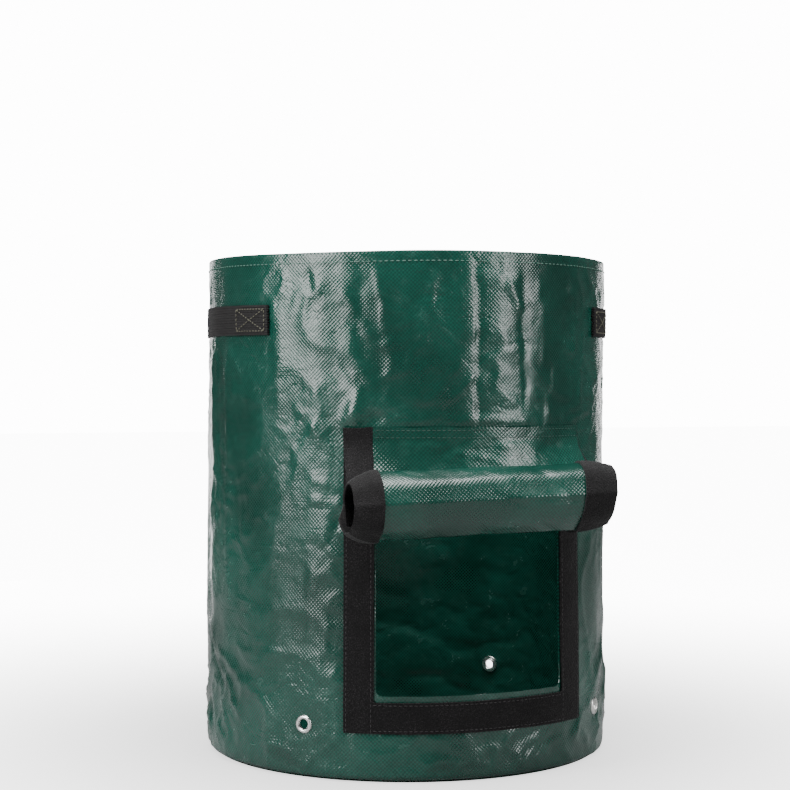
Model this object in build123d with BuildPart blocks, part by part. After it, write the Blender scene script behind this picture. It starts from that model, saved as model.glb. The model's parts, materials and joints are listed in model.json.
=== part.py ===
from build123d import *

import math
import os

# Round grow bag of coated woven sheet, with a harvest window in the front and a flap that rolls up over it.
# The origin is the centre of the base on the floor, +Z is up, and the window faces -Y.
# Lengths are millimetres. Angles round the bag are degrees from the front, positive towards +X.
# A sewn layer lies on the layer under it, so its inner radius is that layer's outer radius.

os.makedirs("parts", exist_ok=True)

# Bag
bag_diameter = 350.0
bag_height = 426.0
fabric = 1.0  # one layer of the coated sheet, with the air between its folds
hem_depth = 12.0  # rim folded to the inside and stitched down
foot_bevel = 8.0  # where the wall turns under
foot_allowance = 22.0  # wall edge turned under on to the base panel, measured from the outside
seam_allowance = 12.0  # the wall's overlap at its side seam
seam_angle = 180.0

# Harvest window and the loop tape round it
window_width = 164.0  # along the wall
window_height = 185.0
window_sill = 70.0  # floor to the lower edge of the opening
window_corner = 5.0
tape_width = 25.0
tape_thickness = 1.6
side_margin = 1.5  # bare wall between the opening and a side tape
sill_margin = 5.0  # bare wall between the opening and the bottom tape

# Flap
flap_overlap = 8.0  # flap sheet over its hook tape
flap_hem = 12.0  # band that is stitched to the wall above the opening
flap_top_above_window = 30.0
web_length = 49.0  # sheet that hangs straight above the roll
strip_count = 10
roll_radius = 33.0  # of the roll's outermost turn
roll_layer_gap = 9.0  # air between one turn of the roll and the next
fold_gap = 0.3  # under the flap's sewn head
fold_clearance = 0.1  # between the corners of neighbouring strips, on each side of their fold
flap_clearance = 4.0  # closed hook tape to bottom loop tape

# Handles
handle_turn = -6.0  # the line between the handles is sewn this far round from the window's own line
handle_arc = 230.0  # end to end along the wall
handle_sewn_length = 43.0  # folded under and stitched down at each end
webbing_width = 25.0
webbing_thickness = 1.4
handle_below_rim = 54.0  # rim to the middle of the webbing
grip_gap = 0.3

# Drain eyelets
eyelet_angle = 47.0
eyelet_height = 44.0
eyelet_bore_radius = 4.0
eyelet_wall = 0.45
eyelet_flange_radius = 7.4
eyelet_flange_thickness = 1.1
eyelet_clearance = 0.05

# What follows from them
bag_radius = bag_diameter / 2
inner_radius = bag_radius - fabric
hem_radius = inner_radius - fabric
window_top = window_sill + window_height
tape_radius = bag_radius + tape_thickness
side_tape_start = window_width / 2 + side_margin
bottom_tape_top = window_sill - sill_margin
bottom_tape_base = bottom_tape_top - tape_width
flap_top = window_top + flap_top_above_window
lift_height = flap_top - flap_hem
curl_height = lift_height - web_length
flap_back = tape_radius + flap_clearance + tape_thickness
flap_plane = flap_back + fabric / 2  # distance of the closed sheet's middle from the bag's axis
flap_half_width = side_tape_start + tape_width
sheet_half_width = side_tape_start + flap_overlap
last_strip_length = tape_width
strip_length = (curl_height - bottom_tape_base - last_strip_length) / (strip_count - 1)
roll_pitch = fabric + tape_thickness + roll_layer_gap
handle_height = bag_height - handle_below_rim
eyelet_hole_radius = eyelet_bore_radius + eyelet_wall + eyelet_clearance


def degrees_of(arc):
    """Angle that a length along the wall's outside takes up."""
    return math.degrees(arc / bag_radius)


def outward(angle):
    """Unit direction that leaves the bag's axis at an angle round from the front."""
    return Vector(math.sin(math.radians(angle)), -math.cos(math.radians(angle)), 0)


def radial_plane(angle):
    """Upright plane through the bag's axis: its x runs outwards and its y runs up."""
    away = outward(angle)
    return Plane(origin=(0, 0, 0), x_dir=away, z_dir=away.cross(Vector(0, 0, 1)))


def wall_band(start, end, inner, thickness, low, high):
    """Band that lies round the wall from one angle to another."""
    with BuildPart() as band:
        with BuildSketch(radial_plane(start)):
            with Locations((inner + thickness / 2, (low + high) / 2)):
                Rectangle(thickness, high - low)
        revolve(axis=Axis.Z, revolution_arc=end - start)
    return band.part


def write(part, label):
    """Names a finished piece and writes it to its file."""
    part.label = label
    export_step(part, f"parts/{label}.step")


def write_group(solids, label):
    """Writes several separate solids as one node."""
    write(Compound(children=list(solids)), label)


def make_side_wall():
    """Tube of sheet with the rim folded in, the foot turned under, the side seam, the window and four eyelet holes."""
    with BuildPart() as side_wall:
        with BuildSketch(Plane.XZ):
            with BuildLine():
                rim = bag_height - fabric
                foot = fabric + foot_bevel
                turn_in = bag_radius - foot_allowance
                Polyline(
                    (turn_in, fabric),
                    (bag_radius - foot_bevel, fabric),
                    (bag_radius, foot),
                    (bag_radius, rim),
                    (inner_radius, bag_height),
                    (hem_radius, rim),
                    (hem_radius, bag_height - hem_depth),
                    (inner_radius, bag_height - hem_depth),
                    (inner_radius, foot),
                    (bag_radius - foot_bevel, 2 * fabric),
                    (turn_in, 2 * fabric),
                    close=True,
                )
            make_face()
        revolve(axis=Axis.Z)
        seam_half = degrees_of(seam_allowance) / 2
        seam_low = foot
        seam_high = bag_height - hem_depth
        add(wall_band(seam_angle - seam_half, seam_angle + seam_half, hem_radius, fabric, seam_low, seam_high))
        window_half_chord = bag_radius * math.sin(math.radians(degrees_of(window_width / 2)))
        with BuildSketch(Plane.XZ.offset(bag_radius / 2)):
            with Locations((0, (window_sill + window_top) / 2)):
                RectangleRounded(2 * window_half_chord, window_height, window_corner)
        extrude(amount=bag_radius, mode=Mode.SUBTRACT)
        holes = [
            Plane(origin=outward(angle) * bag_radius + Vector(0, 0, eyelet_height), z_dir=outward(angle))
            for angle in eyelet_angles()
        ]
        with Locations(*holes):
            Hole(eyelet_hole_radius, depth=4 * fabric)
    return side_wall.part


def make_base_panel():
    """Round base under the wall's turned edge."""
    with BuildPart() as base_panel:
        with BuildSketch():
            Circle(bag_radius - foot_bevel)
        extrude(amount=fabric)
    return base_panel.part


def make_loop_tapes():
    """Loop tape on the wall: two full-height side tapes and the bottom tape between them."""
    near = degrees_of(side_tape_start)
    far = degrees_of(side_tape_start + tape_width)
    side_top = lift_height - fold_gap
    write(wall_band(-far, -near, bag_radius, tape_thickness, bottom_tape_base, side_top), "loop_tape_left")
    write(wall_band(near, far, bag_radius, tape_thickness, bottom_tape_base, side_top), "loop_tape_right")
    bottom = wall_band(-near, near, bag_radius, tape_thickness, bottom_tape_base, bottom_tape_top)
    write(bottom, "loop_tape_bottom")


def make_flap_head():
    """Band that is sewn to the wall: the flap's turned top edge, and the heads of its two side tapes."""
    sheet = degrees_of(sheet_half_width)
    far = degrees_of(flap_half_width)
    low = lift_height
    write(wall_band(-sheet, sheet, bag_radius, 2 * fabric, low, flap_top), "flap_top_hem")
    heads = [
        wall_band(-far, -sheet, bag_radius, tape_thickness, low, flap_top),
        wall_band(sheet, far, bag_radius, tape_thickness, low, flap_top),
    ]
    write_group(heads, "flap_tape_heads")


def fold_lines():
    """Points (y, z) of the flap's fold lines while it is rolled up, the turn at each, and the heading after it.

    The strips are chords of a spiral that moves in by roll_pitch in each full turn.
    """
    points = [(-flap_plane, curl_height)]
    turns = []
    headings = []
    for k in range(strip_count):
        radius = roll_radius - roll_pitch * sum(turns) / 360
        turns.append(2 * math.degrees(math.asin(strip_length / (2 * radius))))
        headings.append(-90.0 - sum(turns))
        heading = math.radians(headings[-1])
        length = strip_length if k < strip_count - 1 else last_strip_length
        y, z = points[-1]
        points.append((y + length * math.cos(heading), z + length * math.sin(heading)))
    return points, turns, headings


def end_gap(turn):
    """Length left off a strip at a fold, so that the corners of the folded sheet clear each other."""
    return fold_clearance + fabric / 2 * math.tan(math.radians(turn / 2))


def strip_plane(start, heading):
    """Plane of a strip of the flap: x across the flap, y down its length, and z towards the wall once it is closed."""
    down = Vector(0, math.cos(math.radians(heading)), math.sin(math.radians(heading)))
    across = Vector(1, 0, 0)
    return Plane(origin=(0, start[0], start[1]), x_dir=across, z_dir=across.cross(down))


def make_layer(plane, middle, width, start, end, low, thickness):
    """Flat rectangular layer of the flap, from start to end down its plane and from low upwards off it."""
    with BuildPart() as layer:
        with BuildSketch(plane.offset(low)):
            with Locations((middle, (start + end) / 2)):
                Rectangle(width, end - start)
        extrude(amount=thickness)
    return layer.part


def make_strip(plane, start, end):
    """Sheet of one strip, with its middle on the fold lines."""
    return make_layer(plane, 0, 2 * sheet_half_width, start, end, -fabric / 2, fabric)


def make_strip_tapes(plane, start, end):
    """The two side tapes of one strip, on the face that closes on the wall."""
    middle = side_tape_start + tape_width / 2
    return [
        make_layer(plane, side * middle, tape_width, start, end, fabric / 2, tape_thickness) for side in (-1, 1)
    ]


def make_bottom_hook_tape(plane, start, end):
    """Hook tape across the flap's last strip, between the side tapes."""
    return make_layer(plane, 0, 2 * side_tape_start, start, end, fabric / 2, tape_thickness)


def make_flap():
    """Straight web above the roll, and the strips of the roll one after another."""
    points, turns, headings = fold_lines()
    web_plane = strip_plane((-flap_plane, lift_height), -90.0)
    web_end = web_length - end_gap(turns[0])
    write(make_strip(web_plane, fold_gap, web_end), "flap_web")
    write_group(make_strip_tapes(web_plane, fold_gap, web_end), "flap_web_tapes")
    for k in range(strip_count):
        plane = strip_plane(points[k], headings[k])
        start = end_gap(turns[k])
        end = last_strip_length
        if k < strip_count - 1:
            end = strip_length - end_gap(turns[k + 1])
        write(make_strip(plane, start, end), f"flap_strip_{k + 1:02d}")
        write_group(make_strip_tapes(plane, start, end), f"flap_strip_tapes_{k + 1:02d}")
    write(make_bottom_hook_tape(plane, start, end), "flap_tape_bottom")


def make_handle(middle, name):
    """Webbing handle: two sewn ends, doubled under, and the free grip between them."""
    low = handle_height - webbing_width / 2
    high = handle_height + webbing_width / 2
    reach = degrees_of(handle_arc / 2)
    free = reach - degrees_of(handle_sewn_length)
    gap = degrees_of(grip_gap)
    doubled = 2 * webbing_thickness
    ends = [
        wall_band(middle - reach, middle - free, bag_radius, doubled, low, high),
        wall_band(middle + free, middle + reach, bag_radius, doubled, low, high),
    ]
    write_group(ends, f"{name}_sewn_ends")
    grip_radius = bag_radius + webbing_thickness
    grip = wall_band(middle - free + gap, middle + free - gap, grip_radius, webbing_thickness, low, high)
    write(grip, f"{name}_grip")


def eyelet_angles():
    """Two drain eyelets either side of the window, and two opposite them."""
    return [-eyelet_angle, eyelet_angle, 180 - eyelet_angle, eyelet_angle - 180]


def turned_about_eyelet(angle, profile):
    """Ring turned from a closed profile of (radius from the eyelet's axis, distance from the bag's axis) points."""
    plane = radial_plane(angle)
    with BuildPart() as ring:
        with BuildSketch(plane):
            with BuildLine():
                Polyline(*[(along, eyelet_height + radius) for radius, along in profile], close=True)
            make_face()
        revolve(axis=Axis(outward(angle) * bag_radius + Vector(0, 0, eyelet_height), outward(angle)))
    return ring.part


def make_eyelets():
    """Each eyelet is a flanged barrel through the wall, rolled over a flat washer on the inside."""
    barrel_radius = eyelet_bore_radius + eyelet_wall
    wall_sag = inner_radius - math.sqrt(inner_radius**2 - eyelet_flange_radius**2)
    washer_face = inner_radius - wall_sag - eyelet_clearance
    washer_back = washer_face - eyelet_wall
    lip = barrel_radius + eyelet_wall
    lip_end = washer_back - eyelet_wall
    crown = bag_radius + eyelet_flange_thickness
    shoulder = (barrel_radius + eyelet_flange_radius) / 2
    for number, angle in enumerate(eyelet_angles(), start=1):
        eyelet = turned_about_eyelet(
            angle,
            [
                (eyelet_bore_radius, lip_end),
                (eyelet_bore_radius, crown),
                (shoulder, crown),
                (eyelet_flange_radius, bag_radius),
                (barrel_radius, bag_radius),
                (barrel_radius, washer_back),
                (lip, washer_back),
                (lip, lip_end),
            ],
        )
        write(eyelet, f"drain_eyelet_{number}")
        washer_bore = barrel_radius + eyelet_clearance
        washer = turned_about_eyelet(
            angle,
            [
                (washer_bore, washer_back),
                (eyelet_flange_radius, washer_back),
                (eyelet_flange_radius, washer_face),
                (washer_bore, washer_face),
            ],
        )
        write(washer, f"eyelet_washer_{number}")


write(make_side_wall(), "side_wall")
write(make_base_panel(), "base_panel")
make_loop_tapes()
make_flap_head()
make_flap()
make_handle(handle_turn - 90, "handle_left")
make_handle(handle_turn + 90, "handle_right")
make_eyelets()
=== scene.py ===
import json
import math

import bmesh
import bpy
import numpy as np
from mathutils import Matrix, Vector, noise


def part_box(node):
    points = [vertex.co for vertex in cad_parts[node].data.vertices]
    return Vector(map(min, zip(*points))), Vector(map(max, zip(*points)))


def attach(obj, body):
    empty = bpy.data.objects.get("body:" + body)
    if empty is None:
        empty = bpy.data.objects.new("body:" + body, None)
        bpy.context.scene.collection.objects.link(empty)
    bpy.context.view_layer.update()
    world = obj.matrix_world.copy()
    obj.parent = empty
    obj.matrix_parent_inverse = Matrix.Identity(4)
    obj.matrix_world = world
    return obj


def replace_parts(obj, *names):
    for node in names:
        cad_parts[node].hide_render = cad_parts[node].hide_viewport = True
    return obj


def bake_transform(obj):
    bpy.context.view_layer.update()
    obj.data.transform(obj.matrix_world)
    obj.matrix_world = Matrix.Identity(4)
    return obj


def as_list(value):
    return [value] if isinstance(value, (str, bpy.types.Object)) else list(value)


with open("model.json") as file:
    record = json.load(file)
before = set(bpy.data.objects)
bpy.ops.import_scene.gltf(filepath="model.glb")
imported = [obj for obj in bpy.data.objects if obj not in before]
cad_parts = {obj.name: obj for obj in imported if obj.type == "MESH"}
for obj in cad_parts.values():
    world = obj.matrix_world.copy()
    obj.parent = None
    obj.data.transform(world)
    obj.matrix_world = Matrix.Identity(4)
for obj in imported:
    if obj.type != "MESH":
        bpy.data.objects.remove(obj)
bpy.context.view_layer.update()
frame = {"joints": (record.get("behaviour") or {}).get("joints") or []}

# Grow bag of coated woven sheet with a rolled-up harvest flap. Metres, +Z up, the window faces -Y.
# A place on the wall is given by its arc, which is the distance round the wall from the front towards +X,
# and by its height.
mm = 0.001

# Sizes that the frame gives
wall_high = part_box("side_wall")[1]
bag_radius = wall_high.x
bag_height = wall_high.z
tape_low, tape_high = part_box("loop_tape_bottom")
joints = {joint["name"]: joint for joint in frame["joints"]}
lift_point = Vector(joints["flap_lift"]["pos_m"])
strip_count = sum(name.startswith("flap_curl_") for name in joints)

# Sizes of the sewn parts
sheet_thickness = 0.6 * mm
hem_depth = 12 * mm
foot_round = 5 * mm
foot_allowance = 22 * mm
seam_overlap = 6 * mm
window_half = 82 * mm
window_sill = 70 * mm
window_top = 255 * mm
window_corner = 5 * mm
tape_width = 25 * mm
tape_thickness = 1.6 * mm
tape_start = 83.5 * mm
flap_top = 285 * mm
last_strip = 25 * mm
webbing_width = 25 * mm
webbing_thickness = 1.4 * mm
handle_height = bag_height - 54 * mm
handle_turn = -6.0
handle_half = 115 * mm
handle_sewn = 43 * mm
handle_bend = 40 * mm
eyelet_height = 44 * mm
eyelet_angles = (-47, 47, 133, -133)
eyelet_flange = 7.4 * mm
eyelet_bore = 4 * mm
eyelet_cut = 4.2 * mm

# The rolled flap hangs a little to the left and askew, by slopes along its length
roll_shift = 18 * mm
roll_yaw = -0.03
roll_rise = 0.033
flap_left_top = 84 * mm
flap_right_top = 107 * mm
flap_half = 91.5 * mm

# Where the wall's section changes, as numbers of its points
foot_end = 7
rim_start = 8
rim_end = 12

# Sizes of the faces that the sheet is made of
fine = 2.8 * mm
coarse = 4.2 * mm
tape_face = 2.1 * mm

# Folds in the wall: start arc and height, end arc and height, how far they stand out, and half their width,
# in millimetres. Negative ones are pressed in.
wall_folds = (
    # the upper front left
    (-85, 419, -70, 343, 1.9, 4.5),
    (-70, 343, -74, 300, 1.0, 5.0),
    (-98, 424, -92, 330, -1.6, 8.0),
    (-91, 318, -113, 281, 2.6, 7.0),
    (-82, 300, -100, 268, -1.6, 6.0),
    (-139, 415, -138, 373, -1.3, 2.4),
    (-136, 411, -111, 412, -0.9, 1.6),
    (-157, 291, -122, 288, -1.2, 2.2),
    (-150, 300, -128, 272, 1.0, 4.0),
    (-165, 410, -170, 290, 1.0, 9.0),
    # the band above the flap
    (1, 424, 2, 278, -1.7, 3.0),
    (20, 424, 21, 405, -0.8, 3.0),
    (44, 424, 46, 292, -1.8, 4.5),
    (26, 402, 43, 377, 2.0, 6.0),
    (2, 372, 43, 373, -0.5, 1.3),
    (3, 364, 42, 364, -0.5, 1.2),
    (2, 331, 44, 332, -0.6, 1.3),
    (2, 297, 44, 298, -0.8, 1.4),
    (-2, 290, 55, 289, 1.1, 2.2),
    (72, 310, 73, 286, 1.4, 3.0),
    (60, 410, 66, 330, 0.9, 7.0),
    (92, 416, 100, 300, -0.9, 10.0),
    # beside the left tape
    (-137, 243, -110, 236, 1.2, 2.6),
    (-137, 226, -110, 222, 1.1, 2.4),
    (-112, 219, -128, 182, -1.4, 3.0),
    (-118, 205, -140, 150, 0.8, 5.0),
    (-124, 140, -112, 96, -0.9, 5.0),
    # the left side
    (-240, 352, -241, 137, 0.9, 3.4),
    (-262, 360, -262, 200, -0.8, 6.0),
    (-276, 330, -279, 160, 1.2, 5.0),
    (-205, 330, -211, 220, 0.8, 9.0),
    # the lower left, where the side sits down on its foot
    (-292, 118, -240, 71, 1.8, 4.6),
    (-240, 71, -211, 40, 1.9, 5.0),
    (-281, 100, -243, 62, -1.8, 4.0),
    (-262, 102, -207, 62, 1.5, 3.8),
    (-250, 86, -220, 52, -1.4, 3.4),
    (-300, 70, -262, 34, 1.1, 5.5),
    (-285, 46, -262, 14, -1.8, 5.0),
    (-262, 30, -248, 10, 1.9, 4.0),
    # along the foot in front
    (-176, 24, -137, 11, 2.4, 5.0),
    (-190, 16, -150, 8, -1.2, 4.0),
    (-129, 10, -104, 7, 1.4, 3.4),
    (-70, 12, -40, 9, -0.9, 4.0),
    (-20, 15, 22, 9, 1.3, 4.0),
    (30, 11, 60, 14, 1.2, 3.6),
    (70, 20, 92, 8, -1.0, 4.0),
    # the lower right
    (172, 104, 130, 52, 1.7, 5.0),
    (130, 52, 94, 22, 1.7, 5.0),
    (190, 92, 140, 36, -1.8, 5.0),
    (192, 74, 152, 18, 1.5, 6.0),
    (165, 30, 140, 8, -1.5, 4.5),
    (112, 30, 132, 9, 1.2, 4.0),
)

# Soft lamps: angle round the bag in degrees, distance, height, width and length in metres, power in watts
softboxes = {
    "key_softbox": (-69, 1.5, 0.80, 0.68, 1.02, 31),
    "front_softbox": (38, 1.7, 0.80, 0.42, 1.06, 20),
    "left_rim_softbox": (-170, 1.4, 0.30, 0.18, 0.60, 2),
    "right_rim_softbox": (134, 1.4, 0.36, 0.16, 0.36, 1),
    "overhead_softbox": (-20, 0.45, 2.0, 1.3, 1.3, 84),
    "back_softbox": (161, 1.7, 1.7, 1.0, 0.8, 16),
}


def placed(name, data):
    """Puts a mesh, a lamp or the camera in the scene."""
    made = bpy.data.objects.new(name, data)
    bpy.context.scene.collection.objects.link(made)
    return made


def piece_of(name, bm):
    """Makes a piece from a bmesh, and puts it in the scene."""
    mesh = bpy.data.meshes.new(name)
    bm.to_mesh(mesh)
    bm.free()
    return placed(name, mesh)


# Camera

def make_camera():
    """Eye-level view from the front left, with a long lens."""
    turn = math.radians(-18.9)
    distance = 1.609
    eye_height = 0.325
    pan = math.radians(0.35)
    tilt = math.radians(-0.573)
    data = bpy.data.cameras.new("camera")
    data.sensor_width = 36
    data.lens = 82.03
    camera = placed("camera", data)
    camera.location = (math.sin(turn) * distance, -math.cos(turn) * distance, eye_height)
    aim = math.pi / 2 + turn + pan
    forward = Vector((math.cos(aim) * math.cos(tilt), math.sin(aim) * math.cos(tilt), math.sin(tilt)))
    camera.rotation_euler = forward.to_track_quat("-Z", "Y").to_euler()
    bpy.context.scene.camera = camera


# Materials

class Value:
    """A number in a material's nodes. Arithmetic on it adds Math nodes."""

    def __init__(self, finish, socket):
        self.finish = finish
        self.socket = socket

    def maths(self, operation, *numbers):
        return self.finish.node("ShaderNodeMath", {"operation": operation}, dict(enumerate(numbers)))

    def __add__(self, other):
        return self.maths("ADD", self, other)

    def __sub__(self, other):
        return self.maths("SUBTRACT", self, other)

    def __rsub__(self, other):
        return self.maths("SUBTRACT", other, self)

    def __mul__(self, other):
        return self.maths("MULTIPLY", self, other)

    def sine(self):
        return self.maths("SINE", self)

    def size(self):
        return self.maths("ABSOLUTE", self)

    __radd__ = __add__
    __rmul__ = __mul__


class Finish:
    """A material while it is made."""

    def __init__(self, name):
        self.material = bpy.data.materials.new(name)
        self.material.use_nodes = True
        self.tree = self.material.node_tree
        self.tree.nodes.clear()

    def node(self, kind, settings=None, inputs=None, output=0):
        """Adds a node, makes its settings, then fills its inputs with numbers, colours or links."""
        made = self.tree.nodes.new(kind)
        for name, value in (settings or {}).items():
            setattr(made, name, value)
        for name, value in (inputs or {}).items():
            if isinstance(value, Value):
                self.tree.links.new(value.socket, made.inputs[name])
            else:
                made.inputs[name].default_value = value
        return Value(self, made.outputs[output]) if made.outputs else None

    def cloth_place(self):
        """The place on the flat cloth, in metres along and up it."""
        return self.node("ShaderNodeTexCoord", output="UV")

    def along_and_up(self, place):
        return [self.node("ShaderNodeSeparateXYZ", inputs={"Vector": place}, output=axis) for axis in "XY"]

    def solid_place(self):
        return self.node("ShaderNodeTexCoord", output="Object")

    def stretched(self, place, scale, turn=(0, 0, 0)):
        return self.node("ShaderNodeMapping", inputs={"Vector": place, "Scale": scale, "Rotation": turn})

    def cloud(self, place, scale, detail=3.0, roughness=0.55, distortion=0.0):
        """Soft noise, 0 to 1."""
        inputs = {
            "Vector": place,
            "Scale": scale,
            "Detail": detail,
            "Roughness": roughness,
            "Distortion": distortion,
        }
        return self.node("ShaderNodeTexNoise", inputs=inputs)

    def tufts(self, place, scale):
        """Distance from the middle of the nearest tuft of yarn."""
        inputs = {"Vector": place, "Scale": scale}
        return self.node("ShaderNodeTexVoronoi", {"feature": "F1"}, inputs, "Distance")

    def fitted(self, value, low, high, to_low=0.0, to_high=1.0):
        """The value moved from one range to another, and held inside it."""
        inputs = {"Value": value, "From Min": low, "From Max": high, "To Min": to_low, "To Max": to_high}
        return self.node("ShaderNodeMapRange", {"interpolation_type": "SMOOTHSTEP"}, inputs)

    def shade(self, factor, first, second):
        """A colour between two, by a factor."""
        settings = {"data_type": "RGBA"}
        return self.node("ShaderNodeMix", settings, {0: factor, 6: first, 7: second}, 2)

    def bump(self, height, distance, strength=1.0, under=None):
        inputs = {"Height": height, "Distance": distance, "Strength": strength}
        if under is not None:
            inputs["Normal"] = under
        return self.node("ShaderNodeBump", inputs=inputs)

    def surface(self, **inputs):
        """Ends the material with one shader."""
        named = {name.replace("_", " "): value for name, value in inputs.items()}
        shader = self.node("ShaderNodeBsdfPrincipled", inputs=named)
        self.node("ShaderNodeOutputMaterial", inputs={"Surface": shader})
        return self.material


def coated_sheet():
    """Dark green woven plastic sheet under a clear glossy film, crushed and worn by rubbing in places, with
    a painted highlight along its crinkle crests and painted shade between its yarns.
    """
    finish = Finish("coated_sheet")
    place = finish.cloth_place()
    along, up = finish.along_and_up(place)
    yarn = math.pi / (1.6 * mm)
    warp = (along * yarn).sine()
    weft = (up * yarn).sine()
    drift = finish.cloud(place, 9.0, 4.0)
    rub = finish.cloud(place, 70.0, 3.0, 0.6)
    slub = finish.cloud(place, 260.0, 3.0, 0.6)
    weave = warp * weft * (0.35 + slub * 0.9)
    crush = finish.cloud(finish.stretched(place, (1.0, 1.5, 1), (0, 0, 0.45)), 26.0, 3.5, 0.55, 0.8)
    crest = 1 - ((crush - 0.5) * 3.4).size()
    crushed = finish.fitted(drift, 0.36, 0.60)
    # Painted highlight along the crests of the crushed crinkles, patchy where the sheet is worn by rubbing;
    # the same mask also roughens the sheet there.
    crest_wear_and_highlight = finish.fitted(crest, 0.78, 1.0) * crushed * finish.fitted(rub, 0.40, 0.8)
    # Painted shade between the yarns: the dark colour that the woven pattern darkens towards.
    gap = (0.0010, 0.0155, 0.0108, 1)
    deep = (0.0020, 0.030, 0.0205, 1)
    lively = (0.0045, 0.062, 0.043, 1)
    # Colour of the painted highlight on the crinkle crests.
    crest_highlight_colour = (0.07, 0.16, 0.13, 1)
    body = finish.shade(finish.fitted(drift, 0.3, 0.7), deep, lively)
    # The woven pattern with painted shade: its cells darken towards the gap colour, at most half way.
    body = finish.shade(finish.fitted(weave, -0.5, 0.5) * 0.5, body, gap)
    # Painted highlight: the crinkle crests go lighter.
    colour = finish.shade(crest_wear_and_highlight * 0.16, body, crest_highlight_colour)
    woven = finish.bump(weave, 0.11 * mm)
    crinkle = finish.fitted(crest, 0.0, 1.0) * crushed + rub * 0.4
    normal = finish.bump(crinkle, 0.8 * mm, 0.8, woven)
    roughness = 0.15 + rub * 0.12 + crest_wear_and_highlight * 0.12
    return finish.surface(
        Base_Color=colour, Roughness=roughness, Normal=normal, Specular_IOR_Level=0.5,
        Coat_Weight=0.12, Coat_Roughness=0.12,
    )


def napped_tape(name, pile):
    """Black hook or loop tape: a matt nap."""
    finish = Finish(name)
    place = finish.cloth_place()
    nap = finish.cloud(place, pile, 2.0, 0.7)
    tufts = finish.tufts(place, pile * 0.8)
    worn = finish.cloud(place, 45.0, 4.0)
    fleck = finish.fitted(nap, 0.50, 0.72) * finish.fitted(worn, 0.25, 0.7)
    colour = finish.shade(fleck, (0.0024, 0.0022, 0.0024, 1), (0.033, 0.030, 0.032, 1))
    normal = finish.bump(nap * 0.7 + tufts * 0.6, 0.9 * mm, 0.9)
    return finish.surface(
        Base_Color=colour, Roughness=0.93, Normal=normal, Specular_IOR_Level=0.2, Sheen_Weight=0.06,
        Sheen_Roughness=0.5,
    )


def woven_webbing():
    """Black webbing with a rib across it and a herringbone of yarns."""
    finish = Finish("woven_webbing")
    place = finish.cloth_place()
    along, up = finish.along_and_up(place)
    herringbone = (up * (math.pi / (2.1 * mm))).sine() * 0.9
    rib = (along * (math.pi / (0.9 * mm)) + herringbone).sine()
    yarn = (up * (math.pi / (1.05 * mm))).sine()
    fuzz = finish.cloud(place, 420.0, 2.0)
    height = rib * 0.35 + yarn * 0.35 + fuzz * 0.4
    light = finish.fitted(rib * yarn + fuzz, 0.2, 1.3)
    colour = finish.shade(light, (0.0045, 0.0042, 0.0045, 1), (0.018, 0.0165, 0.0165, 1))
    return finish.surface(
        Base_Color=colour, Roughness=0.75, Normal=finish.bump(height, 0.45 * mm), Specular_IOR_Level=0.25,
    )


def plated_metal():
    """Nickel-plated brass with fine turning marks and dulled patches."""
    finish = Finish("plated_metal")
    place = finish.solid_place()
    dull = finish.cloud(place, 380.0, 3.0)
    marks = finish.cloud(finish.stretched(place, (1, 1, 9)), 900.0, 2.0)
    colour = finish.shade(dull, (0.62, 0.61, 0.59, 1), (0.86, 0.86, 0.85, 1))
    normal = finish.bump(marks, 0.05 * mm, 0.5)
    return finish.surface(Base_Color=colour, Metallic=1.0, Roughness=0.18 + dull * 0.22, Normal=normal)


def sewing_thread(name, dark, light):
    """Twisted thread."""
    finish = Finish(name)
    place = finish.solid_place()
    twist = finish.cloud(place, 1500.0, 2.0)
    colour = finish.shade(twist, dark, light)
    normal = finish.bump(twist, 0.2 * mm, 0.6)
    return finish.surface(Base_Color=colour, Roughness=0.62, Normal=normal, Specular_IOR_Level=0.4)


sheet_finish = coated_sheet()
loop_finish = napped_tape("loop_nap", 900.0)
hook_finish = napped_tape("hook_nap", 1100.0)
webbing_finish = woven_webbing()
metal_finish = plated_metal()
hem_thread = sewing_thread("green_thread", (0.03, 0.09, 0.07, 1), (0.11, 0.19, 0.155, 1))
seam_thread = sewing_thread("dark_green_thread", (0.006, 0.03, 0.022, 1), (0.03, 0.07, 0.055, 1))
black_thread = sewing_thread("black_thread", (0.012, 0.011, 0.012, 1), (0.045, 0.04, 0.043, 1))
olive_thread = sewing_thread("olive_thread", (0.05, 0.05, 0.034, 1), (0.13, 0.125, 0.09, 1))


# Making sheets

def smooth_step(values):
    held = np.clip(values, 0, 1)
    return held * held * (3 - 2 * held)


def steps(start, end, size):
    """Evenly spaced values from start to end, about size apart."""
    return np.linspace(start, end, max(2, int(round(abs(end - start) / size)) + 1))


def joined(*runs):
    """Runs of values one after another, each of which starts where the last one ends."""
    return np.concatenate([runs[0]] + [run[1:] for run in runs[1:]])


def soft_noise(*place, seed=0.0):
    """Perlin noise at each of many places, about -1 to 1."""
    flat = [np.broadcast_to(part, np.broadcast(*place).shape).ravel() for part in place]
    values = [noise.noise(Vector((x + seed, y - seed, z + 2 * seed))) for x, y, z in zip(*flat)]
    return np.array(values).reshape(np.broadcast(*place).shape)


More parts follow.
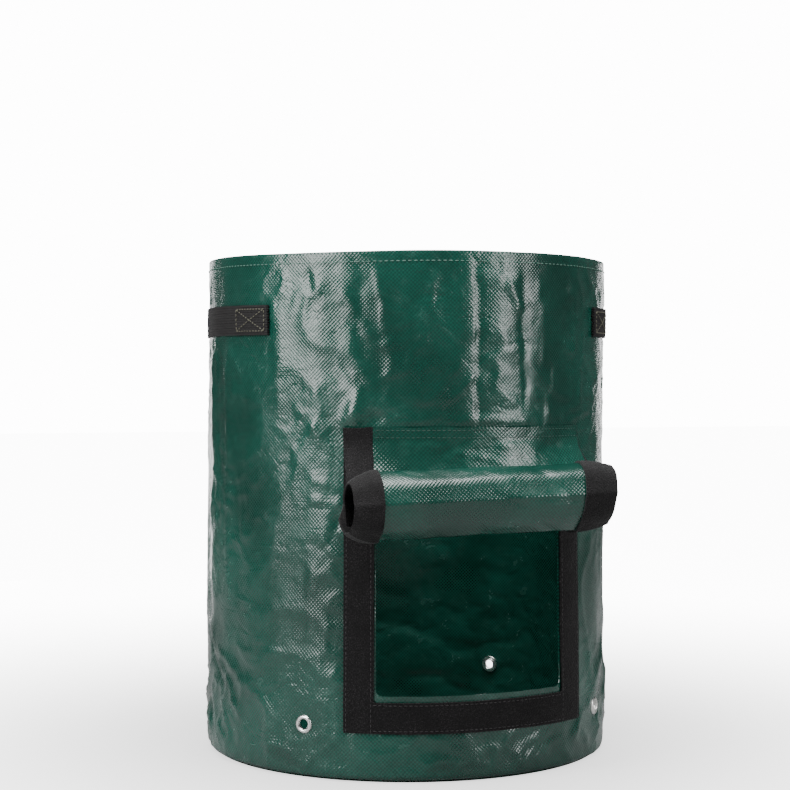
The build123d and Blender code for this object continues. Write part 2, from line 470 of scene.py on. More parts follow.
def sheet_of(name, across, up, place, laid_out=None):
    """A grid of faces whose corners are place(across, up); its UV map is the flat cloth, in metres."""
    bm = bmesh.new()
    bmesh.ops.create_grid(bm, x_segments=len(across) - 1, y_segments=len(up) - 1, size=0.5)
    made = piece_of(name, bm)
    mesh = made.data
    corners = np.empty(len(mesh.vertices) * 3)
    mesh.vertices.foreach_get("co", corners)
    corners = corners.reshape(-1, 3)
    column = np.rint((corners[:, 0] + 0.5) * (len(across) - 1)).astype(int)
    row = np.rint((corners[:, 1] + 0.5) * (len(up) - 1)).astype(int)
    over, high = np.asarray(across)[column], np.asarray(up)[row]
    mesh.vertices.foreach_set("co", np.asarray(place(over, high)).ravel())
    flat = np.stack((over, high), axis=1) if laid_out is None else laid_out(over, high)
    corner_of = np.empty(len(mesh.loops), dtype=np.int32)
    mesh.loops.foreach_get("vertex_index", corner_of)
    layer = mesh.uv_layers.new(name="cloth")
    layer.data.foreach_set("uv", flat[corner_of].astype(np.float32).ravel())
    mesh.update()
    return made


def thickened(piece, thickness, offset):
    """Gives a sheet its thickness and applies it, then shades it smooth with sharp edges."""
    solidify = piece.modifiers.new("thickness", "SOLIDIFY")
    solidify.thickness = thickness
    solidify.offset = offset
    solidify.use_even_offset = True
    graph = bpy.context.evaluated_depsgraph_get()
    thin = piece.data
    piece.data = bpy.data.meshes.new_from_object(piece.evaluated_get(graph))
    piece.modifiers.clear()
    bpy.data.meshes.remove(thin)
    shaded(piece)
    return piece


def shaded(piece):
    """Smooth, but sharp where a sheet's face meets its cut edge."""
    piece.data.shade_smooth()
    piece.data.set_sharp_from_angle(angle=math.radians(50))


def finished(piece, material):
    """Gives a piece its one material."""
    piece.data.materials.clear()
    piece.data.materials.append(material)
    return piece


def wall_stitches(
    name, arc, height, out, thread, facing=1, length=3.2 * mm, gap=0.9 * mm, thickness=0.8 * mm
):
    """A row of stitches along a line on the wall. Where facing is -1, it is on the inner face."""
    points, normals = wall.at(arc, height, out)
    normals = facing * normals
    run = np.concatenate(([0], np.cumsum(np.linalg.norm(np.diff(points, axis=0), axis=1))))
    count = max(1, int(run[-1] / (length + gap)))
    pitch = run[-1] / count
    bm = bmesh.new()

    def at(distance, values):
        return Vector([np.interp(distance, run, values[:, axis]) for axis in range(3)])

    for number in range(count):
        start = at(number * pitch, points)
        end = at(number * pitch + pitch * length / (length + gap), points)
        away = at((number + 0.5) * pitch, normals).normalized()
        forward = (end - start).normalized()
        side = away.cross(forward).normalized()
        turn = Matrix((forward, side, forward.cross(side))).transposed().to_4x4()
        size = Matrix.Diagonal((0.5 * (end - start).length, 0.5 * thickness, 0.45 * thickness, 1))
        lift = away * 0.15 * thickness
        place = Matrix.Translation((start + end) / 2 + lift) @ turn @ size
        bmesh.ops.create_uvsphere(bm, u_segments=6, v_segments=4, radius=1, matrix=place)
    row = piece_of(name, bm)
    row.data.shade_smooth()
    finished(row, thread)
    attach(row, "bag")


# The wall's shape

def fold_lift(arc, height):
    """How far the wall's folds stand out. A fold wanders, and one of its sides is the steeper."""
    wander = 4.5 * mm * soft_noise(arc / 0.021, height / 0.021, 0.0, seed=12.3)
    sway = 4.5 * mm * soft_noise(arc / 0.024, height / 0.024, 5.0, seed=2.6)
    swelling = 1 + 0.7 * soft_noise(arc / 0.016, height / 0.016, 3.0, seed=9.9)
    over, high = arc + wander, height + sway
    lift = np.zeros(np.shape(arc))
    for start_arc, start_height, end_arc, end_height, depth, half_width in wall_folds:
        start = np.array((start_arc, start_height)) * mm
        run = np.array((end_arc, end_height)) * mm - start
        share = np.clip(((over - start[0]) * run[0] + (high - start[1]) * run[1]) / (run @ run), 0, 1)
        off_arc, off_height = over - start[0] - share * run[0], high - start[1] - share * run[1]
        steep = np.where(off_arc * run[1] - off_height * run[0] > 0, 0.65, 1.5)
        ends = smooth_step(np.minimum(share, 1 - share) * 5 + 0.25)
        crest = np.exp(-(np.hypot(off_arc, off_height) / (steep * half_width * mm)) ** 1.3)
        lift += depth * mm * crest * ends
    return lift * swelling


def near_tape(arc, height):
    """1 where a tape, the webbing or an eyelet holds the wall flat, and 0 away from them."""
    soft = 5 * mm
    beside = np.abs(np.abs(arc) - (tape_start + tape_width / 2)) - tape_width / 2
    upright = np.maximum(beside, np.maximum(height - flap_top, tape_low.z - height))
    tape_middle = (tape_low.z + tape_high.z) / 2
    level = np.maximum(np.abs(arc) - tape_start, np.abs(height - tape_middle) - tape_width / 2)
    head_half = 6 * mm
    head = np.maximum(np.abs(arc) - tape_start, np.abs(height - flap_top + head_half) - head_half)
    reach = np.minimum(np.minimum(upright, level), head)
    for middle in handle_middles():
        across = np.abs(wrapped(arc - middle)) - handle_half
        reach = np.minimum(reach, np.maximum(across, np.abs(height - handle_height) - webbing_width / 2))
    for angle in eyelet_angles:
        off = np.hypot(wrapped(arc - math.radians(angle) * bag_radius), height - eyelet_height)
        reach = np.minimum(reach, off - eyelet_flange)
    return 1 - smooth_step(reach / soft + 0.2)


def handle_middles():
    """The arcs of the middles of the left and the right handle."""
    return [math.radians(handle_turn + side * 90) * bag_radius for side in (-1, 1)]


def wrapped(arc):
    """The arc brought to within half a turn of the front."""
    around = 2 * math.pi * bag_radius
    return (arc + around / 2) % around - around / 2


def crumple(arc, height, cell, seed):
    """Sharp crests of crushed sheet, 1 at their tops, about a cell apart."""
    turn = arc / bag_radius
    x, y = np.cos(turn) * bag_radius / cell, np.sin(turn) * bag_radius / cell
    z = height / cell
    drift = soft_noise(x * 0.4, y * 0.4, z * 0.4, seed=seed + 9)
    x, y, z = x + drift, y - drift, z + drift
    return (1 - np.abs(soft_noise(x, y, z, seed=seed)) * 2) ** 3


def wall_swell(arc, height):
    """How far the wall stands out from a true cylinder."""
    turn = arc / bag_radius
    wide = soft_noise(np.cos(turn) * 1.7, np.sin(turn) * 1.7, height / 0.24, seed=3.1)
    flutes = soft_noise(np.cos(turn) * 6.5, np.sin(turn) * 6.5, height / 0.30, seed=8.4)
    low_down = 1 - smooth_step((height - 15 * mm) / (115 * mm))
    patches = soft_noise(np.cos(turn) * 2.6, np.sin(turn) * 2.6, height / 0.09, seed=5.5)
    patchy = smooth_step(patches * 1.6 + 0.45)
    large = crumple(arc, height, 55 * mm, 1.7)
    small = crumple(arc, height, 21 * mm, 6.2)
    crushed = large * (0.9 + 1.3 * low_down) + small * (0.3 + 1.2 * patchy + 0.9 * low_down) * 0.75
    free = 1 - 0.86 * near_tape(arc, height)
    rim = 1 - 0.5 * smooth_step((height - (bag_height - 25 * mm)) / (20 * mm))
    return 2.4 * mm * wide + (1.5 * mm * flutes + 1.0 * mm * crushed + fold_lift(arc, height)) * free * rim


def wall_profile():
    """The wall's section from its turned foot to its hem, as (radius, height) points."""
    lay = 1.5 * mm
    fold = 0.9 * mm
    foot_middle = np.array((bag_radius - foot_round, lay + foot_round))
    points = [(bag_radius - foot_allowance, lay)]
    for angle in np.linspace(-90, 0, foot_end):
        around = np.array((math.cos(math.radians(angle)), math.sin(math.radians(angle))))
        points.append(tuple(foot_middle + foot_round * around))
    for angle in np.linspace(0, 180, rim_end - rim_start + 1):
        across = bag_radius - fold + fold * math.cos(math.radians(angle))
        points.append((across, bag_height - fold + fold * math.sin(math.radians(angle))))
    points.append((bag_radius - 2 * fold, bag_height - hem_depth))
    return np.array(points)


class Wall:
    """The side wall as a grid of places, which every sewn part follows."""

    def __init__(self):
        self.profile = wall_profile()
        legs = np.linalg.norm(np.diff(self.profile, axis=0), axis=1)
        self.run = np.concatenate(([0], np.cumsum(legs)))
        self.foot_run = self.run[foot_end]
        self.foot_height = self.profile[foot_end][1]
        half_round = math.pi * bag_radius
        front_left, front_right = -320 * mm, 205 * mm
        self.arcs = joined(
            steps(-half_round - seam_overlap, front_left, coarse),
            steps(front_left, -window_half, fine),
            steps(-window_half, window_half, fine),
            steps(window_half, front_right, fine),
            steps(front_right, half_round + seam_overlap, coarse),
        )
        self.heights = joined(
            steps(self.foot_height, window_sill, fine),
            steps(window_sill, window_top, 2.9 * mm),
            steps(window_top, self.profile[rim_start][1], 3.0 * mm),
        )
        self.rows = joined(
            steps(0, self.run[1], 4 * mm),
            self.run[1 : foot_end + 1],
            self.foot_run + self.heights - self.foot_height,
            self.run[rim_start : rim_end + 1],
            steps(self.run[rim_end], self.run[-1], 3 * mm),
        )
        over, high = np.meshgrid(self.arcs, self.heights)
        self.points = self.place(over.ravel(), (self.foot_run + high - self.foot_height).ravel())
        self.points = self.points.reshape(len(self.heights), len(self.arcs), 3)
        right = np.gradient(self.points, axis=1)
        upward = np.gradient(self.points, axis=0)
        normals = np.cross(right, upward)
        self.normals = normals / np.linalg.norm(normals, axis=2, keepdims=True)

    def place(self, arc, along):
        """Where the sheet lies, from the arc and the distance along its section."""
        radius = np.interp(along, self.run, self.profile[:, 0])
        height = np.interp(along, self.run, self.profile[:, 1])
        swell = wall_swell(arc, height) * smooth_step((along - self.run[1] * 0.6) / (30 * mm))
        seam = np.clip((np.abs(arc) - math.pi * bag_radius + seam_overlap) / (2 * seam_overlap), 0, 1)
        layer = np.where(arc > 0, smooth_step(seam * 2) * 0.8 * mm, -smooth_step(seam * 2) * 0.2 * mm)
        out = radius + swell + layer
        turn = arc / bag_radius
        rim_wave = 1.3 * mm * soft_noise(np.cos(turn) * 1.5, np.sin(turn) * 1.5, 0.3, seed=4.4)
        rim_lift = rim_wave * smooth_step((height - 300 * mm) / (120 * mm))
        level = 1 - smooth_step((along - self.run[1]) / foot_round)
        seam_lift = np.where(arc < 0, smooth_step(seam * 2), 0) * level * 0.9 * mm
        return np.stack((np.sin(turn) * out, -np.cos(turn) * out, height + rim_lift + seam_lift), axis=1)

    def at(self, arc, height, out=0.0):
        """Points over the wall's outer face, and the outward normals there."""
        arc = np.asarray(arc, float)
        height = np.broadcast_to(np.asarray(height, float), arc.shape)
        column = np.interp(wrapped(arc), self.arcs, np.arange(len(self.arcs)))
        row = np.interp(height, self.heights, np.arange(len(self.heights)))
        left = np.minimum(column.astype(int), len(self.arcs) - 2)
        low = np.minimum(row.astype(int), len(self.heights) - 2)
        across, up = (column - left)[..., None], (row - low)[..., None]

        def mixed(grid):
            lower = grid[low, left] * (1 - across) + grid[low, left + 1] * across
            upper = grid[low + 1, left] * (1 - across) + grid[low + 1, left + 1] * across
            return lower * (1 - up) + upper * up

        normal = mixed(self.normals)
        normal /= np.linalg.norm(normal, axis=-1, keepdims=True)
        return mixed(self.points) + normal * np.asarray(out)[..., None], normal


make_camera()
wall = Wall()


def cut_openings(bm, cloth):
    """Cuts the window and the eyelet holes out of the wall."""
    gone = []
    for face in bm.faces:
        arc, height = np.mean([cloth[v] for v in face.verts], axis=0)
        in_window = abs(arc) < window_half and window_sill < height < window_top
        in_eyelet = any(eyelet_distance(arc, height, angle) < eyelet_cut for angle in eyelet_angles)
        if in_window or in_eyelet:
            gone.append(face)
    bmesh.ops.delete(bm, geom=gone, context="FACES")


def round_eyelet_holes(bm, cloth):
    """Moves the edge of each eyelet hole to a circle just outside the eyelet's barrel."""
    hole_radius = eyelet_bore + 1.1 * mm
    for vert in bm.verts:
        if not vert.is_boundary:
            continue
        arc, height = cloth[vert]
        for angle in eyelet_angles:
            off = eyelet_distance(arc, height, angle)
            if off < 2 * eyelet_bore:
                middle = math.radians(angle) * bag_radius
                share = hole_radius / off
                over = middle + wrapped(arc - middle) * share
                place, _ = wall.at(over, eyelet_height + (height - eyelet_height) * share)
                vert.co = Vector(place)


def make_side_wall():
    """The side wall, with its window and its eyelet holes cut out."""
    piece = sheet_of("side_wall_sheet", wall.arcs, wall.rows, wall.place)
    bm = bmesh.new()
    bm.from_mesh(piece.data)
    flat = bm.loops.layers.uv.active
    cloth = {}
    for face in bm.faces:
        for loop in face.loops:
            arc, along = loop[flat].uv
            cloth[loop.vert] = (arc, along - wall.foot_run + wall.foot_height)
    cut_openings(bm, cloth)
    round_eyelet_holes(bm, cloth)
    round_corners(bm, cloth)
    bm.to_mesh(piece.data)
    bm.free()
    thickened(piece, sheet_thickness, -1)
    finished(piece, sheet_finish)
    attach(piece, "bag")
    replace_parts(piece, "side_wall")


def eyelet_distance(arc, height, angle):
    """How far a place on the wall is from the middle of the eyelet at an angle."""
    return math.hypot(wrapped(arc - math.radians(angle) * bag_radius), height - eyelet_height)


def round_corners(bm, cloth):
    """Moves the edge of the opening in at its four corners, so that they are round."""
    for vert in bm.verts:
        arc, height = cloth[vert]
        from_side = window_half - abs(arc)
        from_end = min(height - window_sill, window_top - height)
        near = -mm < from_side < window_corner and -mm < from_end < window_corner
        if not vert.is_boundary or not near:
            continue
        reach = window_corner - math.hypot(window_corner - from_side, window_corner - from_end)
        if reach < 0:
            slope = Vector((window_corner - from_side, window_corner - from_end)).normalized()
            side = math.copysign(1, arc)
            end = 1 if height < (window_sill + window_top) / 2 else -1
            place, _ = wall.at(arc + side * slope.x * reach, height - end * slope.y * reach)
            vert.co = Vector(place)


def make_base_panel():
    """Round base, laid flat, with its edge under the wall's turned foot."""
    radius = bag_radius - foot_round
    share = np.linspace(-1, 1, 111)
    ruck_size = 40 * mm
    flat_edge = 25 * mm
    rucked_to = 125 * mm

    def flat(across, up):
        return np.stack((across * np.sqrt(1 - up**2 / 2), up * np.sqrt(1 - across**2 / 2)), axis=1) * radius

    def place(across, up):
        spot = flat(across, up)
        middle = 1 - smooth_step((np.hypot(spot[:, 0], spot[:, 1]) - rucked_to) / flat_edge)
        crease = 1 - np.abs(soft_noise(spot[:, 0] / ruck_size, spot[:, 1] / ruck_size, 0.5, seed=2.2)) * 2
        ruck = crease**3 * 1.4 * mm + 0.5 * mm
        height = 0.75 * mm + np.clip(ruck, 0, 2 * mm) * middle
        return np.column_stack((spot, height))

    piece = sheet_of("base_panel_sheet", share, share, place, flat)
    thickened(piece, sheet_thickness, -1)
    finished(piece, sheet_finish)
    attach(piece, "bag")
    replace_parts(piece, "base_panel")


def wall_tape(name, arcs, heights, node):
    """A piece of loop tape sewn to the wall, with a row of stitches along each long edge."""

    def place(arc, height):
        nap = 0.35 * mm * soft_noise(arc / 0.012, height / 0.012, 0.0, seed=1.3)
        return wall.at(arc, height, 0.25 * mm + np.abs(nap))[0]

    piece = sheet_of(name, arcs, heights, place)
    thickened(piece, tape_thickness - 0.3 * mm, 1)
    finished(piece, loop_finish)
    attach(piece, "bag")
    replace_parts(piece, node)
    inset = 2.2 * mm
    if len(heights) > len(arcs):
        lines = [(np.full(len(heights), arc), heights) for arc in (arcs[0] + inset, arcs[-1] - inset)]
    else:
        lines = [(arcs, np.full(len(arcs), height)) for height in (heights[0] + inset, heights[-1] - inset)]
    for number, (arc, height) in enumerate(lines, start=1):
        row = f"{name}_stitches_{number}"
        wall_stitches(row, arc, height, tape_thickness, black_thread, thickness=0.6 * mm)


def make_loop_tapes():
    """The loop tapes on both sides of the window and below it."""
    heights = steps(tape_low.z, flap_top - 1.5 * mm, 2.2 * mm)
    left = steps(-tape_start - tape_width, -tape_start, tape_face)
    right = steps(tape_start, tape_start + tape_width, tape_face)
    wall_tape("loop_tape_left_nap", left, heights, "loop_tape_left")
    wall_tape("loop_tape_right_nap", right, heights, "loop_tape_right")
    across = steps(-tape_start - 0.5 * mm, tape_start + 0.5 * mm, 2.2 * mm)
    wall_tape("loop_tape_bottom_nap", across, steps(tape_low.z, tape_high.z, tape_face), "loop_tape_bottom")


# The flap: its line, from the seam above the window down to the free edge inside the roll

def flap_rucks(across, along):
    """How far the rolled sheet stands off its line, with ends drawn in like a barrel's."""
    rolled = smooth_step((along - 40 * mm) / (40 * mm))
    ruck = 1.1 * mm * soft_noise(across / 0.055, along / 0.022, 0.0, seed=7.3)
    crease = 1 - 2 * np.abs(soft_noise(across / 0.05 + along / 0.08, along / 0.035, 1.0, seed=2.9))
    sag = 1.2 * mm * soft_noise(across / 0.10, along / 0.09, 2.0, seed=4.7)
    past_sheet = np.clip((np.abs(across) - 84 * mm) / (24.5 * mm), 0, 1)
    barrel = np.where(across > 0, 4.5 * mm, 8 * mm) * past_sheet**2
    return (ruck + 0.8 * mm * crease**3 + sag + barrel) * rolled


def flap_shift(across, along):
    """How far the sheet moves along the roll: it is drawn to the left, and its inner turns end short."""
    drawn = smooth_step((along - 30 * mm) / (45 * mm))
    wound = smooth_step((along - 115 * mm) / (150 * mm))
    left_slack = 0.12 * np.clip(-across - tape_start, 0, 1)
    right_slack = 0.15 * np.clip(across - tape_start, 0, 1)
    slack = -0.035 * across - roll_shift + left_slack + right_slack
    inner_ends = np.where(across > 0, 12 * mm, 2 * mm) * smooth_step(np.abs(across) / tape_start)
    return slack * drawn + inner_ends * wound


class Flap:
    """The flap's line, a polygon of fold lines rounded off, and what body each stretch of it is on."""

    bend_margin = 0.23
    web_bend = 0.8
    sewn_down_to = flap_top - 9 * mm
    hangs_free_from = 222 * mm

    def __init__(self):
        self.folds = [Vector(joints[f"flap_curl_{k:02d}"]["pos_m"]).yz for k in range(1, strip_count + 1)]
        turned = sum(joints[f"flap_curl_{k:02d}"]["range_deg"][1] for k in range(1, strip_count + 1))
        heading = math.radians(-90 - turned)
        ahead = Vector((math.cos(heading), math.sin(heading)))
        self.end = self.folds[-1] + ahead * last_strip
        self.top = Vector((lift_point.y, flap_top))
        web_middle = (lift_point.yz + self.folds[0]) / 2
        self.middles = [web_middle]
        for first, second in zip(self.folds, self.folds[1:]):
            self.middles.append((first + second) / 2)
        self.middles.append(self.folds[-1] + ahead * 7 * mm)
        self.bodies = ["flap_web"] + [f"flap_strip_{k:02d}" for k in range(1, strip_count + 1)]
        self.crisp = {1: 0.45, 2: 0.3, 3: 0.8, 4: 0.95, 5: 0.1, 6: 0.85, 7: 0.2}
        lengths = [(self.middles[0] - self.top).length]
        for k, corner in enumerate(self.folds):
            lengths.append((corner - self.middles[k]).length + (self.middles[k + 1] - corner).length)
        lengths.append((self.end - self.middles[-1]).length)
        self.starts = np.concatenate(([0], np.cumsum(lengths)))

    def line(self, stretch, share):
        """Points and directions, in y and z, of one stretch of the line."""
        share = np.asarray(share, float)[:, None]
        if stretch == 0 or stretch > strip_count:
            start = self.top if stretch == 0 else self.middles[-1]
            end = self.middles[0] if stretch == 0 else self.end
            ahead = np.array((end - start).normalized())
            points = np.array(start) + share * np.array(end - start)
            return points, np.broadcast_to(ahead, (len(share), 2))
        first = np.array(self.middles[stretch - 1])
        corner = np.array(self.folds[stretch - 1])
        last = np.array(self.middles[stretch])
        crisp = self.crisp.get(stretch, 0.3)
        soft = (1 - share) ** 2 * first + 2 * share * (1 - share) * corner + share**2 * last
        before = first + 2 * share * (corner - first)
        after = corner + (2 * share - 1) * (last - corner)
        hard = np.where(share < 0.5, before, after)
        ahead = (1 - share) * (corner - first) + share * (last - corner)
        ahead = ahead / np.linalg.norm(ahead, axis=1, keepdims=True)
        return soft + crisp * (hard - soft), ahead

    def place(self, stretch, across, share, out=0.0):
        """Points of the flap. out is off its outer face, so the face that closes on the wall is minus."""
        line, ahead = self.line(stretch, share)
        along = self.starts[stretch] + np.asarray(share) * (self.starts[stretch + 1] - self.starts[stretch])
        normal = np.column_stack((ahead[:, 1], -ahead[:, 0]))
        off = out + flap_rucks(across, along)
        spot = line + normal * np.broadcast_to(off, across.shape)[:, None]
        over = across + flap_shift(across, along)
        free = np.column_stack((over, spot[:, 0] + roll_yaw * across, spot[:, 1] + roll_rise * across))
        if stretch > 1:
            return free
        height = np.minimum(line[:, 1], flap_top)
        off_wall = tape_thickness + 1.2 * mm + np.broadcast_to(out, across.shape)
        sewn_down, _ = wall.at(across, height, off_wall)
        let_go = (self.sewn_down_to - height) / (self.sewn_down_to - self.hangs_free_from)
        let_go = smooth_step(let_go)[:, None]
        return sewn_down * (1 - let_go) + free * let_go

    def blend(self, piece, stretch):
        """Bakes a piece's place into its mesh, or puts a piece past the last stretch on the last body."""
        if stretch > strip_count:
            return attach(piece, self.bodies[-1])
        if stretch == 0:
            end = lift_point.lerp(Vector((0, *self.middles[0])), self.web_bend)
            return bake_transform(piece)
        first, last = self.middles[stretch - 1], self.middles[stretch]
        run = last - first
        tilt = roll_yaw * run.x + roll_rise * run.y
        scale = run.length_squared / (run.length_squared + tilt**2)
        gradient = Vector((-tilt * scale, run.x * scale, run.y * scale))
        start = Vector((0, first.x, first.y)) + gradient * self.bend_margin
        end = start + gradient * (1 - 2 * self.bend_margin)
        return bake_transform(piece)


def flap_edges(along):
    """The sheet's left and right edges; it was sewn on a little askew."""
    settled = smooth_step((along - 20 * mm) / (50 * mm))
    left = flap_left_top + (flap_half - flap_left_top) * settled
    right = flap_right_top + (flap_half - flap_right_top) * settled
    return left, right


def make_flap():
    """The flap, one piece of sheet and two of hook tape for each stretch of its line."""
    flap = Flap()
    for stretch in range(strip_count + 2):
        length = flap.starts[stretch + 1] - flap.starts[stretch]
        shares = steps(1, 0, 1.5 * mm / length)

        def along_of(share):
            return flap.starts[stretch] + share * length

        def place_sheet(over, share):
            left, right = flap_edges(along_of(share))
            return flap.place(stretch, (right - left) / 2 + over * (left + right) / 2, share)

        def sheet_cloth(over, share):
            return np.column_stack((over * flap_half, -along_of(share)))

        name = f"flap_sheet_{stretch:02d}"
        sheet = sheet_of(name, np.linspace(-1, 1, 67), shares, place_sheet, sheet_cloth)
        thickened(sheet, sheet_thickness, 0)
        finished(sheet, sheet_finish)
        flap.blend(sheet, stretch)
        tapes = make_flap_tapes(flap, stretch, shares, along_of)
        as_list(tapes)
        if stretch == 0:
            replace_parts(sheet, "flap_top_hem", "flap_web")
            for tape in tapes:
                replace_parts(tape, "flap_tape_heads", "flap_web_tapes")
        elif stretch <= strip_count:
            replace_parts(sheet, f"flap_strip_{stretch:02d}")
            for tape in tapes:
                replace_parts(tape, f"flap_strip_tapes_{stretch:02d}")
    make_bottom_hook_tape(flap)
    make_flap_seam()


def make_flap_tapes(flap, stretch, shares, along_of):
    """The hook tapes down both edges of one stretch, on the face that closes on the wall."""
    tapes = []
    for side, label in ((-1, "left"), (1, "right")):
        across = steps(tape_start, tape_start + tape_width, tape_face)
        if side < 0:
            across = -across[::-1]

        def place(over, share):
            nap = 0.25 * mm * soft_noise(over / 0.008, along_of(share) / 0.008, 0.0, seed=3.7)
            return flap.place(stretch, over, share, -0.35 * mm + nap * 0.5)

        def cloth(over, share):
            return np.column_stack((over, -along_of(share)))

        tape = sheet_of(f"flap_tape_{label}_{stretch:02d}", across, shares, place, cloth)
        thickened(tape, tape_thickness, -1)
        finished(tape, hook_finish)
        flap.blend(tape, stretch)
        tapes.append(tape)
    return tapes


def make_bottom_hook_tape(flap):
    """Hook tape across the flap's free edge, between the side tapes."""
    stretch = strip_count + 1
    across = steps(-tape_start + 0.4 * mm, tape_start - 0.4 * mm, 3 * mm)

    def place(over, share):
        return flap.place(stretch, over, share, -0.35 * mm)

    def cloth(over, share):
        return np.column_stack((over, -share * last_strip))

    tape = sheet_of("flap_bottom_hook_tape", across, np.linspace(1, 0, 10), place, cloth)
    thickened(tape, tape_thickness, -1)
    finished(tape, hook_finish)
    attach(tape, flap.bodies[-1])
    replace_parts(tape, "flap_tape_bottom")


def make_flap_seam():
    """Two rows of stitches that hold the flap's top edge to the wall."""
    across = steps(-flap_left_top + 2 * mm, flap_right_top - 2 * mm, 2 * mm)
    for number, below_top in enumerate((2.5 * mm, 8.5 * mm), start=1):
        row = f"flap_seam_stitches_{number}"
        height = flap_top - below_top
        wall_stitches(row, across, height, tape_thickness + 1.5 * mm, seam_thread, thickness=0.5 * mm)


# Handles

def strap(name, span, middle, out):
    """A stretch of webbing that lies round the wall. out(arc) is its height off it."""
    heights = steps(-webbing_width / 2, webbing_width / 2, tape_face)

    def place(arc, up):
        crown = 0.25 * mm * (1 - (2 * up / webbing_width) ** 2)
        return wall.at(middle + arc, handle_height + up, out(arc) + crown)[0]

    piece = sheet_of(name, steps(*span, tape_face), heights, place)
    thickened(piece, webbing_thickness, 1)
    return finished(piece, webbing_finish)


def box_of_stitches(name, middle, start, end):
    """A sewn box with a cross in it, over one sewn end of a handle."""
    inset = 3.5 * mm
    low, high = -webbing_width / 2 + inset, webbing_width / 2 - inset
    near, far = start + inset, end - inset
    corners = ((near, low), (far, low), (far, high), (near, high))
    legs = [(corners[k], corners[(k + 1) % 4]) for k in range(4)]
    legs += [(corners[0], corners[2]), (corners[1], corners[3])]
    for number, (first, last) in enumerate(legs, start=1):
        share = np.linspace(0, 1, 24)
        arc = middle + first[0] + (last[0] - first[0]) * share
        height = handle_height + first[1] + (last[1] - first[1]) * share
        out = 2 * webbing_thickness + 0.75 * mm
        sizes = {"length": 2.6 * mm, "gap": 0.8 * mm, "thickness": 1.0 * mm}
        wall_stitches(f"{name}_{number}", arc, height, out, olive_thread, **sizes)


def make_handle(side, middle):
    """Webbing handle: both ends turned under and sewn down, with a free grip between them."""
    name = f"handle_{side}"
    free = handle_half - handle_sewn
    grip_end = free - handle_bend

    def on_wall(arc):
        return np.full(np.shape(arc), 0.2 * mm)

    def doubled(arc):
        return np.full(np.shape(arc), webbing_thickness + 0.3 * mm)

    def let_down(arc):
        over = smooth_step((free - np.abs(arc)) / (18 * mm))
        return (webbing_thickness + 0.3 * mm) * (1 - over) + 0.15 * mm * over

    def spot(arc):
        return wall.at(np.array([middle + arc]), handle_height, 0)[0][0]

    forward = 1 if side == "left" else -1
    for label, sign in (("front", forward), ("back", -forward)):
        start, end = np.sort(sign * np.array((free, handle_half)))
        outer = strap(f"{name}_{label}_end", (start, end), middle, doubled)
        under = strap(f"{name}_{label}_turned_end", (start + mm, end - 0.6 * mm), middle, on_wall)
        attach(outer, "bag")
        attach(under, "bag")
        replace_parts(outer, f"{name}_sewn_ends")
        box_of_stitches(f"{name}_{label}_stitches", middle, start, end)
        bend_span = np.sort(sign * np.array((grip_end, free)))
        bend = strap(f"{name}_{label}_bend", bend_span, middle, let_down)
        spot(sign * free)
        spot(sign * grip_end)
        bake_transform(bend)
    grip = strap(f"{name}_grip_strap", (-grip_end, grip_end), middle, let_down)
    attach(grip, name)
    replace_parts(grip, f"{name}_grip")


# Eyelets

def turned(name, angle, profile):
    """A ring spun from a closed profile of (radius, out from the wall) points, at an eyelet's place."""
    arc = math.radians(angle) * bag_radius
    places, _ = wall.at(np.array([arc]), eyelet_height)
    away = Vector((math.sin(math.radians(angle)), -math.cos(math.radians(angle)), 0))
    bm = bmesh.new()
    verts = [bm.verts.new((radius, 0, out)) for radius, out in profile]
    for first, second in zip(verts, verts[1:] + verts[:1]):
        bm.edges.new((first, second))
    bmesh.ops.spin(
        bm, geom=bm.verts[:] + bm.edges[:], cent=(0, 0, 0), axis=(0, 0, 1), angle=2 * math.pi, steps=40,
        use_merge=True,
    )
    bmesh.ops.remove_doubles(bm, verts=bm.verts, dist=0.001 * mm)
    bmesh.ops.recalc_face_normals(bm, faces=bm.faces)
    turn = away.to_track_quat("Z", "Y").to_matrix().to_4x4()
    bmesh.ops.transform(bm, matrix=Matrix.Translation(Vector(places[0])) @ turn, verts=bm.verts)
    ring = piece_of(name, bm)
    shaded(ring)
    finished(ring, metal_finish)
    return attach(ring, "bag")


def make_eyelets():
    """A domed flange and barrel outside, rolled over a flat washer inside."""
    bore, rim = eyelet_bore, eyelet_flange
    back = -sheet_thickness - 0.9 * mm
    flange = (
        (rim, -0.15 * mm), (rim, 0.35 * mm), (rim - 0.5 * mm, 0.95 * mm), (rim - 1.5 * mm, 1.35 * mm),
        (bore + 1.0 * mm, 1.3 * mm), (bore + 0.3 * mm, 0.85 * mm), (bore, 0.1 * mm), (bore, back - 0.5 * mm),
        (bore + 0.5 * mm, back - 1.0 * mm), (bore + 1.3 * mm, back - 0.8 * mm),
        (bore + 1.5 * mm, back - 0.25 * mm), (bore + 0.45 * mm, back - 0.1 * mm),
        (bore + 0.45 * mm, -0.1 * mm),
    )
    washer = (
        (bore + 0.5 * mm, back), (rim, back), (rim + 0.2 * mm, back + 0.3 * mm), (rim, back + 0.75 * mm),
        (bore + 0.5 * mm, back + 0.75 * mm),
    )
    for number, angle in enumerate(eyelet_angles, start=1):
        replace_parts(turned(f"eyelet_flange_{number}", angle, flange), f"drain_eyelet_{number}")
        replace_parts(turned(f"eyelet_back_washer_{number}", angle, washer), f"eyelet_washer_{number}")


# Stitching on the bag

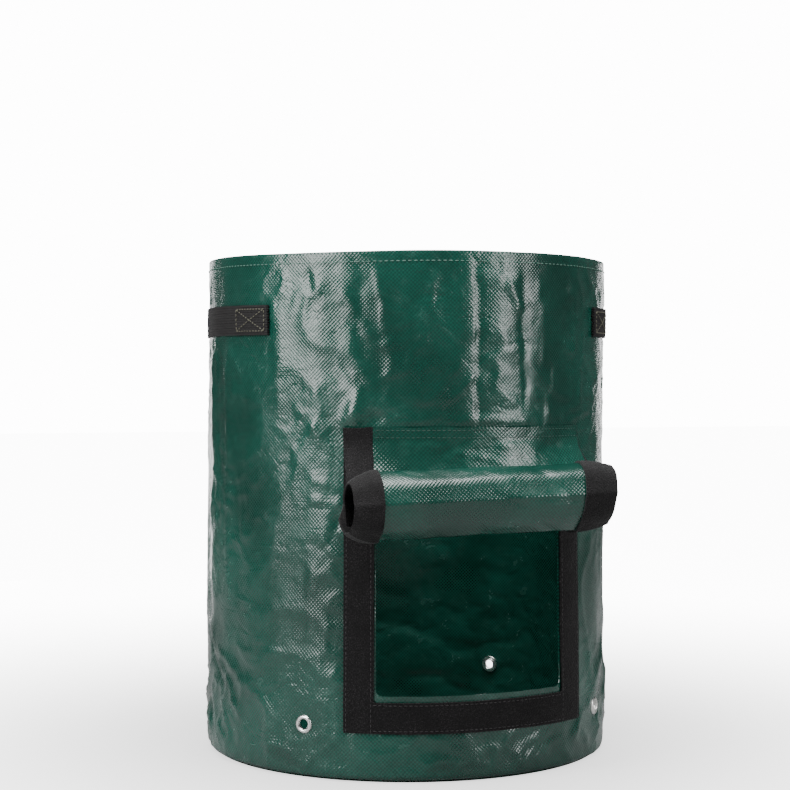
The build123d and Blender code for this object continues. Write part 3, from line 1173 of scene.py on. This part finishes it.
def make_bag_stitches():
    """The rim's hem line, outside and inside, and the two rows down the side seam."""
    half_round = math.pi * bag_radius
    hem_height = bag_height - 8.5 * mm
    around = steps(-half_round, half_round, 2.5 * mm)
    sizes = {"length": 3.6 * mm, "gap": 1.1 * mm, "thickness": 0.9 * mm}
    wall_stitches("rim_hem_stitches", around, hem_height, 0.1 * mm, hem_thread, **sizes)
    wall_stitches("rim_hem_stitches_inside", around, hem_height, -2.5 * mm, hem_thread, -1, **sizes)
    heights = steps(14 * mm, bag_height - 4 * mm, 3 * mm)
    rows = ((half_round - 3.3 * mm, 0.7 * mm), (-half_round + 2.6 * mm, 0.9 * mm))
    for number, (arc, out) in enumerate(rows, start=1):
        down = np.full(len(heights), arc)
        wall_stitches(f"side_seam_stitches_{number}", down, heights, out, hem_thread)


# Stage

def make_stage():
    """Pale floor, a bright surround and soft lamps."""
    bm = bmesh.new()
    bmesh.ops.create_grid(bm, x_segments=2, y_segments=2, size=9)
    floor = piece_of("floor", bm)
    floor.location.z = -0.2 * mm
    floor.data.materials.append(floor_paint())
    make_surround()
    for name, sizes in softboxes.items():
        make_softbox(name, *sizes)


def floor_paint():
    """White paint that glows a little far out, where the lamps don't reach."""
    finish = Finish("floor_paint")
    place = finish.solid_place()
    mottle = finish.cloud(place, 3.0)
    far = finish.node("ShaderNodeVectorMath", {"operation": "LENGTH"}, {0: place}, "Value")
    seen = finish.node("ShaderNodeLightPath", output="Is Camera Ray")
    glow = finish.fitted(far, 0.1, 1.2, 0.12, 1.0) * seen
    return finish.surface(
        Base_Color=finish.shade(mottle, (0.27, 0.27, 0.27, 1), (0.31, 0.31, 0.31, 1)), Roughness=0.8,
        Emission_Color=finish.shade(glow, (0, 0, 0, 1), (1, 1, 1, 1)), Emission_Strength=12.0,
    )


def make_surround():
    """Pale surround that shows white and gives a little fill."""
    world = bpy.data.worlds.new("surround")
    world.use_nodes = True
    tree = world.node_tree
    sky = tree.nodes["Background"]
    seen = tree.nodes.new("ShaderNodeLightPath")
    strength = tree.nodes.new("ShaderNodeMapRange")
    fill, backdrop = 0.13, 14
    strength.inputs["To Min"].default_value = fill
    strength.inputs["To Max"].default_value = backdrop
    tree.links.new(seen.outputs["Is Camera Ray"], strength.inputs["Value"])
    tree.links.new(strength.outputs["Result"], sky.inputs["Strength"])
    sky.inputs["Color"].default_value = (1, 1, 1, 1)
    bpy.context.scene.world = world


def make_softbox(name, angle, distance, height, width, tall, power):
    """Soft lamp at an angle round the bag. A low one looks level, and a high one down at the bag."""
    light = bpy.data.lights.new(name, "AREA")
    light.shape = "RECTANGLE"
    light.size = width
    light.size_y = tall
    light.energy = power
    lamp = placed(name, light)
    turn = math.radians(angle)
    lamp.location = (math.sin(turn) * distance, -math.cos(turn) * distance, height)
    aim = Vector((0, 0, bag_height / 2)) - lamp.location
    if height < 1.5:
        aim.z = 0
    lamp.rotation_euler = aim.to_track_quat("-Z", "Y").to_euler()
    lamp.visible_camera = False


make_side_wall()
make_base_panel()
make_loop_tapes()
make_flap()
for side, middle in zip(("left", "right"), handle_middles()):
    make_handle(side, middle)
make_eyelets()
make_bag_stitches()
make_stage()
